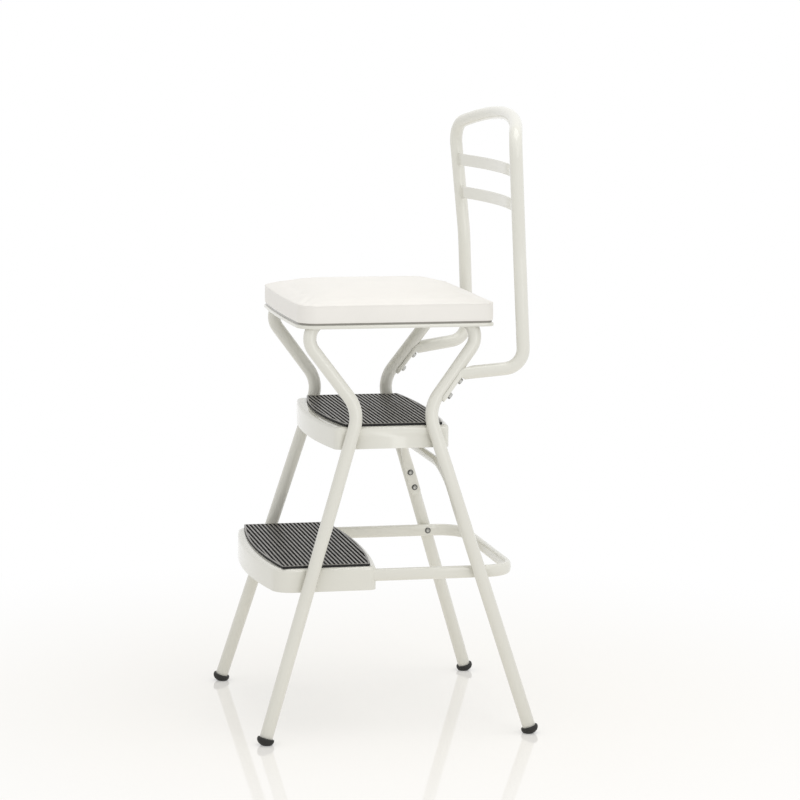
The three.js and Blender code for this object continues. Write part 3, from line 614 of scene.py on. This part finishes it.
def tray(plate):
    shape = bmesh.new()
    edge = plate["top"] - fillet
    section = [(0, plate["top"] - plate["skirt"]), (0, plate["top"] - rivet_drop)]
    section += [
        (fillet * (1 - cos(pi / 2 * i / fillet_steps)), edge + fillet * sin(pi / 2 * i / fillet_steps))
        for i in range(fillet_steps + 1)]
    section += [(fillet + 1.5 * mm, plate["top"])]
    cap(shape, stack(shape, plate, section)[-1])
    bmesh.ops.remove_doubles(shape, verts=shape.verts, dist=doubles)
    bmesh.ops.recalc_face_normals(shape, faces=shape.faces)
    bmesh.ops.solidify(shape, geom=shape.faces[:], thickness=sheet)
    return shape


for name, plate in (("lower", lower), ("upper", upper)):
    piece = build(f"{name}_step_tray", tray(plate), enamel, 50)
    print(name, "tray:", len(piece.data.polygons), "faces")

# %% [markdown]
# ## Treads
#
# The rubber mat on each tray has a plain border round a field of ribs that run across the step, so a shoe
# can't slide off forwards. Cutting grooves into a mat is what a mould maker does. Here it is simpler to
# do the reverse: a thin base, a low wall round it, and one rounded rib at a time, whose length comes from
# the outline at its place. A rib's end is slanted, as its two edges end at different points of the bow.

# %% Treads
base, rib, pitch, border = 1.1 * mm, 2.6 * mm, 6.2 * mm, 2.6 * mm
rib_half, shortest_rib = 1.55 * mm, 4 * mm
round_edge, leg_margin, mat_radius = 0.5 * mm, 1.5 * mm, 2 * mm


def reach(points, y):
    """Half width of an outline at a given depth."""
    half = points[:len(points) // 2 + 1]
    for before, after in zip(half, half[1:]):
        if before.y <= y <= after.y and after.y > before.y:
            return before.x + (after.x - before.x) * (y - before.y) / (after.y - before.y)
    return 0.0


def tread(plate, side, front, bow, rear):
    """A mat that is smaller than its tray by three insets; its front has a bow of its own."""
    mat = dict(plate, half=plate["half"] - side, front=plate["front"] + front, front_bow=bow,
               rear=plate["rear"] - rear, front_radius=mat_radius, rear_radius=mat_radius)
    floor_level = plate["top"] + gap
    top = floor_level + base + rib
    section = [(0, floor_level), (0, top - round_edge), (round_edge * 0.3, top - round_edge * 0.3),
               (round_edge, top), (border - 0.4 * mm, top), (border, top - 0.4 * mm),
               (border, floor_level + base)]
    shape = bmesh.new()
    rings = stack(shape, mat, section, leg_margin)
    cap(shape, rings[-1])
    cap(shape, rings[0])
    field = outline(mat, border - 0.5 * mm, top, leg_margin)
    low = floor_level + base - 0.2 * mm
    profile = [(-rib_half, low), (-1.35 * mm, top - round_edge), (-1.05 * mm, top),
               (1.05 * mm, top), (1.35 * mm, top - round_edge), (rib_half, low)]
    start = mat["front"] - bow + border - pitch / 2
    count = 0
    for k in range(int((mat["rear"] + mat["rear_bow"] - start) / pitch) + 1):
        middle = start + pitch * k + rib_half
        widths = [reach(field, middle + offset) for offset, _ in profile]
        if min(widths) < shortest_rib:
            continue
        ring = None
        for sign in (-1, 1):
            ring = draw(shape, ring, [
                (sign * width, middle + offset, z) for width, (offset, z) in zip(widths, profile)])
            cap(shape, ring)
        count += 1
    return shape, count


for name, plate, insets in (("lower", lower, (4, 7.4, 14, 8)), ("upper", upper, (3.4, 15, 15.8, 9))):
    shape, count = tread(plate, *(size * mm for size in insets))
    build(f"{name}_step_tread", shape, treads[name], 30)
    print(name, "tread:", count, "ribs")

# %% [markdown]
# ## Bars across the rear legs
#
# The U-bar was round tube, rolled to a flat oval so that it lies against the legs. The arch was pressed flat
# only at its ends, for two rivets each. There the section is wide and thin, it turns round again in the
# first part of the bend, and the very end is narrowed by the shears. A smooth step between the two avoids
# a visible ridge where the pressing stops.

# %% U-bar and arch
end_shares = [0.45, 0.72, 0.92]


def leg_face(z): return leg_width(z) - tube_radius - gap
def mirrored(point): return Vector((-point.x, point.y, point.z))


def smooth_step(t):
    t = min(max(t, 0), 1)
    return t * t * (3 - 2 * t)


def flattened(radius, width, thickness, press, end_place, squareness):
    """Half widths and exponent of a round tube pressed, by a share, to a width and a thickness."""
    sheared = end_shares[end_place] if end_place < len(end_shares) else 1
    return ((radius + (width / 2 - radius) * press) * sheared,
            radius + (thickness / 2 - radius) * press, 1 - squareness * press)


bar_height, bar_thickness, bar_bend = 18 * mm, 10 * mm, 42 * mm
bar_half = leg_face(bar_level + (bar_height - bar_thickness) / 2) - bar_thickness / 2
bar_front, bar_rear = -70 * mm, leg_depth(bar_level) + 53.6 * mm
corners = [Vector((sign * bar_half, y, bar_level)) for sign, y in (
    (1, bar_front), (1, bar_rear), (-1, bar_rear), (-1, bar_front))]
oval = (bar_height / 2, bar_thickness / 2, 0.72)
path = bent(corners, [bar_bend, bar_bend])
build("rear_u_bar", sweep(sections(path, Vector((0, 0, 1)), lambda i: oval)), enamel)

crown, arch_end, arch_bend, arch_radius = 388 * mm, 292 * mm, 60 * mm, 6.35 * mm
flat_width, flat_thickness = 16.6 * mm, 3.4 * mm


def arch_point(sign, z, inward=0.0):
    return Vector((sign * (leg_face(z) - flat_thickness / 2 - inward), leg_depth(z), z))


arch_foot = arch_point(1, arch_end)
curve = bend(arch_foot, arch_point(1, crown), Vector((0, leg_depth(crown), crown)), arch_bend)
straight = [arch_foot.lerp(curve[0], share) for share in (0, 0.03, 0.07, 0.12, 0.5)]
arch_half = straight + curve


def arch_section(i):
    place = min(i, 2 * len(arch_half) - 1 - i)
    press = 1 - smooth_step((place - len(straight) + 1) / 6)
    return flattened(arch_radius, flat_width, flat_thickness, press, place, 0.45)


path = arch_half + [mirrored(point) for point in reversed(arch_half)]
out_of_plane = Vector((1, 0, 0)).cross(Vector((0, spread, -1)).normalized()).normalized()
build("rear_arch_brace", sweep(sections(path, out_of_plane, arch_section)), enamel)
print("bars in place, U-bar reaches", round(bar_rear / mm), "mm back")

# %% [markdown]
# ## Backrest
#
# One tube again: an upside-down U whose lower ends run forward to the rear legs and are pressed into
# saddles over them. A real saddle is pressed with the leg's own tube as the die, and here it is made that
# way too: any point of the pressed end that would be inside the leg is pushed straight out to its surface,
# which leaves the crescent that the photograph shows. Half of the tube is made and the rest mirrored. Its
# corners are given from the bottom up: low, middle, where the uprights bend very slightly, and top.

# %% Backrest tube
lean_up = Vector((0, shoulder_depth - waist_depth, rail_height - waist_height)).normalized()
lean_out = Vector((0, lean_up.z, -lean_up.y))
run_level, back_low_y = waist_height + 61.3 * mm, waist_depth + 137.7 * mm
back_low = leg_width(run_level) + 22.4 * mm
back_top, top_crown, top_bow = run_level + 357.1 * mm, 25.3 * mm, 29.4 * mm
mid_level, mid_y, mid_half = run_level + 165.2 * mm, back_low_y - 7.4 * mm, back_low - 3.8 * mm
corner_level, corner_y, corner_half = back_top - top_crown, mid_y - 12.4 * mm, mid_half + 17.9 * mm
top_radius, mid_radius, low_radius, saddle_radius = 33.4 * mm, 200 * mm, 29 * mm, 12 * mm
saddle_width, saddle_thickness, saddle_face = 20.5 * mm, 8.6 * mm, 3 * mm
saddle_reach, saddle_start = 48.5 * mm, 22 * mm
saddle_out = tube_radius + gap + saddle_face - saddle_thickness / 2
clear = tube_radius + gap


def lean_point(sign, along, out):
    point = Vector((0, waist_depth, waist_height)) + lean_up * along + lean_out * out
    return on_side(sign, point.y, point.z)


def out_of_leg(point, radius):
    """Push a point out of the leg that it sits on."""
    start = on_side(1, waist_depth, waist_height)
    direction = (on_side(1, shoulder_depth, rail_height) - start).normalized()
    foot = start + direction * (point - start).dot(direction)
    away = point - foot
    return foot + away.normalized() * radius if away.length < radius else point


bar = [Vector((corner_half * s, corner_y + top_bow * (1 - s * s), back_top - top_crown * s * s))
       for s in (i / 12 for i in range(10))]
top_corner = Vector((corner_half, corner_y, corner_level))
mid_corner = Vector((mid_half, mid_y, mid_level))
low_corner = Vector((back_low, back_low_y, run_level))
saddle_corner = lean_point(1, (saddle_reach - lean_out.y * saddle_out) / lean_up.y, saddle_out)
saddle_end = lean_point(1, saddle_start, saddle_out)
saddle = bend(low_corner, saddle_corner, saddle_end, saddle_radius)
back_half = bar + bend(bar[-1], top_corner, mid_corner, top_radius, 16)
back_half += bend(top_corner, mid_corner, low_corner, mid_radius, 4)
back_half += bend(mid_corner, low_corner, saddle_corner, low_radius, 16)
back_half += [saddle[0].lerp(back_half[-1], 0.2)]
still_round = len(back_half)
back_half += saddle + [saddle[-1].lerp(saddle_end, share) for share in (0.4, 0.8, 0.9, 0.96, 1)]
pressed = len(back_half) - still_round


def back_section(i):
    press = smooth_step((len(back_half) - 1 - i - still_round) / len(saddle))
    return flattened(tube_radius, saddle_width, saddle_thickness, press, i, 0.3)


rings = sections(back_half[::-1], across_side(1), back_section, fine_section)
rings = [[out_of_leg(point, clear) for point in ring] if i < pressed else ring
         for i, ring in enumerate(rings)]
for point in rings[-1]:
    point.x = 0
rings += [[mirrored(point) for point in ring] for ring in reversed(rings[:-1])]
build("backrest_tube", sweep(rings), enamel)
print("backrest:", len(rings), "sections")

# %% [markdown]
# The slats are flat strip, bowed to the rear by as much as a back needs and welded between the uprights.
# A weld that has been painted over is a soft bead, so each end gets one along the front and one along
# the rear of the strip: a small sphere, drawn out to the height of the slat.

# %% Slats
slat_half, slat_thickness, slat_bow, slat_steps = 9 * mm, 3 * mm, 18 * mm, 14
strip = (slat_half, slat_thickness / 2, 0.32)
bead_across, bead_deep, bead_sunk, bead_off = 2.0 * mm, 1.7 * mm, 0.6 * mm, 0.42 * slat_thickness
rake = Vector((0, corner_y - mid_y, corner_level - mid_level)).normalized()


def upright(z):
    share = (z - mid_level) / (corner_level - mid_level)
    return mid_half + (corner_half - mid_half) * share, mid_y + (corner_y - mid_y) * share


for name, drop in (("upper", 78.9 * mm), ("lower", 128.9 * mm)):
    level = back_top - drop
    end = upright(level - slat_half)[0] - clear
    middle_y = upright(level)[1]
    path = [Vector((end * s, middle_y + slat_bow * (1 - s * s), level)) for s in (
        i / slat_steps - 1 for i in range(2 * slat_steps + 1))]
    shape = sweep(sections(path, rake, lambda i: strip, fine_section), 0.3 * mm)
    for sign in sides.values():
        for face in (-1, 1):
            bead = bmesh.ops.create_uvsphere(shape, u_segments=12, v_segments=8, radius=1)["verts"]
            size = Matrix.Diagonal((bead_across, bead_deep, slat_half, 1))
            spot = Vector((sign * (end - bead_sunk), middle_y + face * bead_off, level))
            bmesh.ops.transform(shape, matrix=facing(spot, rake) @ size, verts=bead)
    build(f"backrest_slat_{name}", shape, enamel)
    print(name, "slat at", round(level / mm), "mm")

# %% [markdown]
# ## Tips, rivets, bolts and pins
#
# All of these are turned shapes: half of a profile, in millimetres of radius and height, is spun round an
# axis, then stood on its point and tilted along its direction. A rubber tip follows its leg, which leans
# two ways, so its sole comes out slanted until a plane at floor level cuts it flat, just as wear does.

# %% Turned pieces and rubber tips
def turned(profile, steps=32):
    shape = bmesh.new()
    line = [shape.verts.new((radius * mm, 0, height * mm)) for radius, height in profile]
    for pair in zip(line, line[1:]):
        shape.edges.new(pair)
    bmesh.ops.spin(shape, geom=shape.verts[:] + shape.edges[:], cent=(0, 0, 0), axis=(0, 0, 1),
                   angle=2 * pi, steps=steps, use_merge=True)
    bmesh.ops.remove_doubles(shape, verts=shape.verts, dist=doubles)
    return shape


def stood(shape, point, direction):
    bmesh.ops.transform(shape, matrix=facing(point, direction), verts=shape.verts)
    return shape


def leg_up(sign, end):
    return Vector((-sign * lean, -end * spread, 1)).normalized()


tip_radius = 12.6
dome = [(tip_radius * sin(pi / 2 * i / 12), 8.2 - 9.2 * cos(pi / 2 * i / 12)) for i in range(13)]
tip_profile = dome + [(12.5, 9.2), (12.25, 10.2), (11.8, 10.7), (11.2, 10.8), (10.2, 10.8), (9.9, 10.5),
                      (9.85, 9.5), (9.85, 4.5), (0, 4.5)]
for side, sign in sides.items():
    for name, end in ends.items():
        shape = stood(turned(tip_profile, 40), on_side(sign, end * foot_depth, 0), leg_up(sign, end))
        everything = shape.verts[:] + shape.edges[:] + shape.faces[:]
        cut = bmesh.ops.bisect_plane(shape, geom=everything, plane_co=(0, 0, 0), plane_no=(0, 0, -1),
                                     clear_outer=True)["geom_cut"]
        bmesh.ops.contextual_create(
            shape, geom=[item for item in cut if isinstance(item, bmesh.types.BMEdge)])
        build(f"rubber_tip_{name}_{side}", shape, tip_rubber)
print("four tips of", 2 * tip_radius, "mm")

# %% [markdown]
# The rivets are hollow at the end, which makes their heads rings with a dimple. The tables give each one's
# place from the leg that it holds, and the direction that its head faces. The rim attribute that the
# plating's shader reads is set here, on what lies outside a radius and above the seat of the head.

# %% Rivets
rivet_head = [(4.6, 0.15), (4.6, 0.6), (4.35, 1.25), (3.7, 1.8), (2.9, 2.05), (2.2, 1.95), (1.75, 1.45),
              (1.5, 0.9), (0, 0.75)]
rim_inside, shank_tail, wall = 2.8 * mm, 2.2, 1.25 * mm


def rivet(node, point, direction, grip):
    tail = -grip / mm - shank_tail
    shape = turned([(0, tail), (2.0, tail), (2.4, tail + 0.4), (2.4, 0.15)] + rivet_head, 28)
    # The rim attribute marks where the plating's painted shade goes.
    rim = shape.verts.layers.float.new("rim")
    for vertex in shape.verts:
        vertex[rim] = 1.0 if rim_inside < vertex.co.xy.length and vertex.co.z > 0 else 0.0
    build(node, stood(shape, point, direction), plated, 60)


for side, sign in sides.items():
    inward = Vector((-sign, 0, -lean)).normalized()
    for step, plate, name in (("upper", upper, "front"), ("upper", upper, "rear"), ("lower", lower, "front")):
        z = plate["top"] - rivet_drop
        place = Vector((sign * (leg_face(z) - sheet), ends[name] * leg_depth(z), z))
        rivet(f"{step}_step_rivet_{name}_{side}", place, inward, sheet + gap + wall)
    place = Vector((sign * (bar_half - bar_thickness / 2), leg_depth(bar_level), bar_level))
    rivet(f"u_bar_rivet_{side}", place, Vector((-sign, 0, 0)), bar_thickness + gap + wall)
    for name, drop in (("lower", 84 * mm), ("upper", 60 * mm)):
        place = arch_point(sign, crown - drop, flat_thickness / 2)
        rivet(f"arch_rivet_{name}_{side}", place, inward, flat_thickness + gap + wall)
print("rivets set")

# %% [markdown]
# A bolt is a washer on a shank, and a hexagon on top whose corners a chamfer takes off. The hinge pins are
# plain, with a flat head at each end.

# %% Bolts and hinge pins
hexagon_radius, hexagon_low, hexagon_top = 4.62 * mm, 0.9 * mm, 4.35 * mm
for side, sign in sides.items():
    outward = Vector((sign * lean * lean_up.y, lean_out.y, lean_out.z)).normalized()
    for name, along in (("lower", 34.5 * mm), ("upper", 60.5 * mm)):
        tail = -(saddle_face + gap + wall) / mm - shank_tail
        shape = turned([(0, tail), (2.6, tail), (3, tail + 0.4), (3, 0.15), (5, 0.15), (5.2, 0.35),
                        (5.2, 0.95), (5, 1.15), (3.9, 1.15), (3.9, 1.0), (0, 1.0)])
        hexagon = bmesh.ops.create_cone(
            shape, cap_ends=True, segments=6, radius1=hexagon_radius, radius2=hexagon_radius,
            depth=hexagon_top - hexagon_low,
            matrix=Matrix.Translation((0, 0, (hexagon_top + hexagon_low) / 2)))["verts"]
        top_edges = {edge for vertex in hexagon for edge in vertex.link_edges
                     if min(end.co.z for end in edge.verts) > hexagon_top - 0.01 * mm}
        bmesh.ops.bevel(shape, geom=list(top_edges), offset=0.5 * mm, segments=2, profile=0.5,
                        affect="EDGES", material=-1)
        point = lean_point(sign, along, clear + saddle_face)
        build(f"backrest_bolt_{name}_{side}", stood(shape, point, outward), plated, 30)

hinge_y, hinge_level = shoulder_depth - 11.8 * mm, rail_height - 5 * mm
reach_in = 4.8
pin_profile = [
    (0, -reach_in - 1.65), (3.9, -reach_in - 1.65), (4.4, -reach_in - 1.2), (4.4, -reach_in - 0.15),
    (2.5, -reach_in - 0.15), (2.5, 0.15), (4.4, 0.15), (4.4, 1.2), (3.9, 1.65), (0, 1.65)]
for side, sign in sides.items():
    place = Vector((sign * leg_face(rail_height), hinge_y, hinge_level))
    build(f"hinge_pin_{side}", stood(turned(pin_profile), place, Vector((sign, 0, 0))), plated)
print("bolts and pins set")

# %% [markdown]
# ## Seat pan
#
# The pan is sheet steel, drawn down at the sides and rolled out at the rim, which is the thin pale band
# under the padding. Its section, from the underside of its ceiling down to the rim and up the outside,
# is a short table of insets and levels, and the seat's outline is drawn at each of them. The outer wall
# just above the rim is what one sees in the seam below the cushion, so its two rings get painted shade.

# %% Pan
seat = {
    "half": leg_width(rail_height) + 16.1 * mm, "legs": [],
    "front": 12 * mm - shoulder_depth, "front_bow": 5 * mm, "front_radius": 30 * mm,
    "rear": shoulder_depth - 0.5 * mm, "rear_bow": 0.6 * mm, "rear_radius": 13 * mm}
rim_low = rail_height - 12.5 * mm
rim_high = rim_low + 5 * mm
bumper_height, board_thickness = 3.2 * mm, 4 * mm
ceiling = rail_height + tube_radius + 2 * gap + bumper_height
pan_top = ceiling + sheet
board_top = pan_top + gap + board_thickness
wall_inset = 2.4
rolled = [
    (9, ceiling), (4.8, ceiling), (3.9, ceiling - 0.3 * mm), (3.6, ceiling - 1.2 * mm),
    (3.6, rim_high - 1.2 * mm), (1.2, rim_high - 1.2 * mm), (1.2, rim_low + 0.6 * mm),
    (1.0, rim_low + 0.17 * mm), (0.6, rim_low), (0.2, rim_low + 0.17 * mm), (0, rim_low + 0.6 * mm),
    (0, rim_high - 1.2 * mm), (0.35, rim_high - 0.35 * mm), (1.2, rim_high), (2.1, rim_high),
    (wall_inset, rim_high + 0.3 * mm), (wall_inset, pan_top - 1.5 * mm),
    (2.8, pan_top - 0.5 * mm), (3.8, pan_top), (9, pan_top)]
shape = bmesh.new()
seam = shape.verts.layers.float.new("seam")
rings = stack(shape, seat, [(inset * mm, z) for inset, z in rolled])
# The two rings of the seam wall carry the enamel's painted shade.
for (inset, _), ring in zip(rolled, rings):
    for vertex in ring:
        vertex[seam] = 1.0 if inset == wall_inset else 0.0
cap(shape, rings[0])
cap(shape, rings[-1])
build("seat_pan", shape, enamel)
print("pan rim at", round(rim_low / mm, 1), "mm")

# %% [markdown]
# ## Cushion
#
# A vinyl cover pulled over foam is under tension: its sides are drawn in at the pan, its edge is tight, and
# its top swells. The section starts between board and cover, runs down and round the lower edge, up a wall
# that is slightly full, and over a rolled edge. From there on the rings shrink towards the middle and rise
# to a crown, steeply near the edge and hardly at all in the middle. A few passes of smoothing take away the
# crease where the two meet.

# %% Cushion
bottom = rim_high + 3 * mm
edge_level = board_top + 4.4 * mm
wrap, roll = 2.1 * mm, 2.4 * mm
wall_top = edge_level - 2 * roll
wall_out, wall_full = 1.1 * mm, 0.4 * mm
crown_start, crown_rise, crown_power = edge_level - 0.1 * mm, 18.6 * mm, 5
crown_rows, crown_share, crown_passes = 30, 0.9, 12
section = [
    (wrap + 9 * mm, board_top + gap), (wrap + 1 * mm, board_top + gap), (wrap, board_top + gap),
    (wrap, board_top - 1 * mm), (wrap, bottom + 0.5 * mm), (wrap - 0.2 * mm, bottom),
    (1.6 * mm, bottom), (1.2 * mm, bottom + 0.4 * mm)]
section += [(wall_out - wall_full * sin(pi * i / 8), bottom + (wall_top - bottom) * i / 8)
            for i in range(1, 9)]
section += [(0.4 * mm + roll - roll * sin(pi * i / 8), edge_level - roll - roll * cos(pi * i / 8))
            for i in range(2, 8)]
section += [(0.4 * mm + 1.6 * roll, edge_level - 0.15 * mm), (0.4 * mm + 2.3 * roll, crown_start)]
shape = bmesh.new()
rings = stack(shape, seat, section)
middle_y = (seat["front"] + seat["rear"]) / 2
edge_ring = [vertex.co.copy() for vertex in rings[-1]]
half_x = max(point.x for point in edge_ring)
half_y = max(point.y for point in edge_ring) - middle_y


def crowned(point, share):
    across, along = share * point.x / half_x, share * (point.y - middle_y) / half_y
    rise = (crown_rise * max(1 - abs(across) ** crown_power, 0)
            * max(1 - abs(along) ** crown_power, 0))
    return Vector((share * point.x, middle_y + share * (point.y - middle_y), crown_start + rise))


ring = rings[-1]
for i in range(1, crown_rows):
    ring = draw(shape, ring, [crowned(point, 1 - crown_share * i / crown_rows) for point in edge_ring])
cap(shape, ring)
cap(shape, rings[0])
crest = [vertex for vertex in shape.verts if vertex.co.z > edge_level + 3 * mm]
for _ in range(crown_passes):
    bmesh.ops.smooth_vert(shape, verts=crest, factor=0.5, use_axis_x=True, use_axis_y=True, use_axis_z=True)
cushion = build("seat_cushion", shape, vinyl, 180)
print("cushion:", len(cushion.data.vertices), "vertices")

# %% [markdown]
# Then the cover is inflated as cloth, which rounds it as air pressure rounds a mattress. It is held fast
# below and along its walls, where it is clamped and glued, and let go over the few millimetres above them.
# What the simulation adds is capped, so the seat keeps its size and still swings clear, and the top is
# smoothed in height alone, since a capped movement would leave a faint step.

# %% Inflating the cushion
let_go, most_moved, cloth_frames, level_passes = 7 * mm, 2.2 * mm, 20, 40
hem = cushion.vertex_groups.new(name="clamped")
for vertex in cushion.data.vertices:
    hem.add([vertex.index], 1 - smooth_step((vertex.co.z - wall_top) / let_go), "REPLACE")
cloth = cushion.modifiers.new("inflate", "CLOTH")
cloth.settings.vertex_group_mass = "clamped"
cloth.settings.quality = 8
cloth.settings.mass = 0.4
cloth.settings.tension_stiffness = cloth.settings.compression_stiffness = 40
cloth.settings.bending_stiffness = 4
cloth.settings.use_pressure = True
cloth.settings.uniform_pressure_force = 4
cloth.settings.effector_weights.gravity = 0
cloth.collision_settings.use_collision = False
for number in range(1, cloth_frames + 1):
    scene.frame_set(number)
puffed = cushion.evaluated_get(bpy.context.evaluated_depsgraph_get()).to_mesh()
targets = [vertex.co.copy() for vertex in puffed.vertices]
cushion.modifiers.clear()
moved = []
for vertex, target in zip(cushion.data.vertices, targets):
    step = target - vertex.co
    moved.append(step.length)
    vertex.co += step * min(1, most_moved / max(step.length, 1e-9))
shape = bmesh.new()
shape.from_mesh(cushion.data)
for _ in range(level_passes):
    crest = [vertex for vertex in shape.verts if vertex.co.z > edge_level + 6 * mm]
    bmesh.ops.smooth_vert(
        shape, verts=crest, factor=0.5, use_axis_x=False, use_axis_y=False, use_axis_z=True)
shape.to_mesh(cushion.data)
shape.free()
print("cloth would move", round(max(moved) / mm, 1), "mm at most, and may move", most_moved / mm)
finer = cushion.modifiers.new("finer", "SUBSURF")
finer.levels = finer.render_levels = 1
print("cushion top at", round(max(vertex.co.z for vertex in cushion.data.vertices) / mm, 1), "mm")
